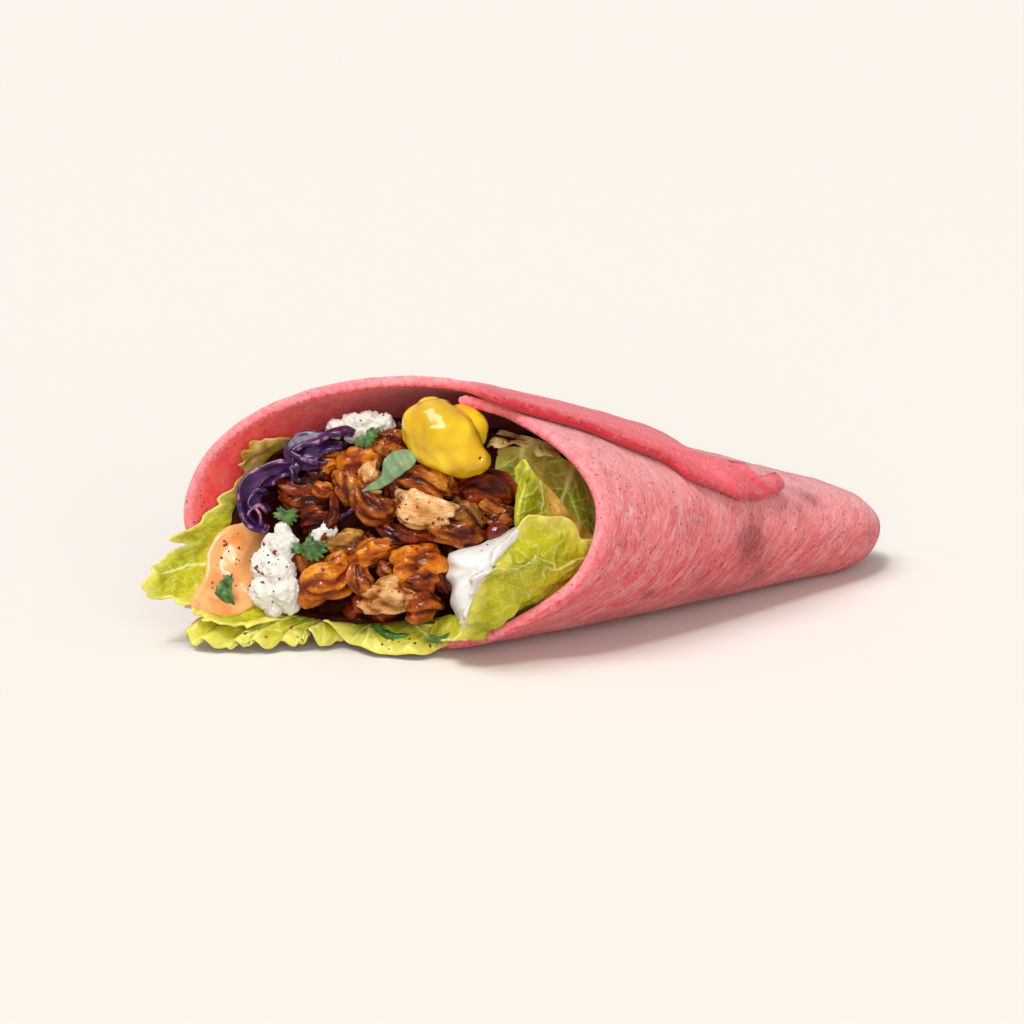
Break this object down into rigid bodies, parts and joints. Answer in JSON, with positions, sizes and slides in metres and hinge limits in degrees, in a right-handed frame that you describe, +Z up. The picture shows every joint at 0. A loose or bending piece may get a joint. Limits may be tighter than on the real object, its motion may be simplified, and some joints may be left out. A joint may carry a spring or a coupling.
{
  "type": "filled flatbread wrap",
  "caption": "Rolled pink flatbread cone lying on its side, its open mouth filled with lettuce, roast meat, crumbled cheese, red cabbage, sauces and a pickled yellow pepper.",
  "frame": {"origin": "middle of the bounding box in plan, on the surface the wrap lies on", "axes": "+X from the open mouth to the closed tip, +Z up, -Y the shown side"},
  "size_m": [0.2558, 0.1064, 0.0804],
  "materials": {
    "flatbread": "soft beetroot flatbread with pale flour and brown pores",
    "lettuce": "fresh yellow-green leaf with pale veins",
    "shaded_lettuce": "olive and tan leaf, wilted at the edges",
    "herb": "dull dark green herb leaf",
    "cheese": "white crumbly cheese",
    "cabbage": "dark purple skin with pale cut edges",
    "pepperoncini": "glossy pickled yellow pepper",
    "bean": "glossy dark red",
    "green_pepper": "glossy green pepper slice",
    "white_sauce": "smooth white yoghurt sauce",
    "orange_sauce": "smooth pale orange sauce",
    "meat": "glossy caramel brown roast meat with charred edges"
  },
  "bodies": {
    "root": {"flatbread": "flatbread", "leaf_left": "lettuce", "leaf_floor": "lettuce", "leaf_front": "lettuce", "leaf_near": "lettuce", "leaf_standing": "shaded_lettuce", "leaf_back": "shaded_lettuce", "leaf_roof": "shaded_lettuce", "leaf_dark": "shaded_lettuce", "pepperoncini": "pepperoncini", "herb_leaf": "herb", "herb_lower_left": "herb", "herb_middle": "herb", "herb_on_cheese": "herb", "herb_top": "herb", "herb_front": "herb", "bean": "bean", "green_pepper": "green_pepper", "cabbage_arc": "cabbage", "cabbage_fold": "cabbage", "cabbage_loop": "cabbage", "feta_front": "cheese", "feta_small": "cheese", "feta_back": "cheese", "white_sauce": "white_sauce", "orange_sauce": "orange_sauce", "meat_heap": "meat"}
  },
  "joints": []
}
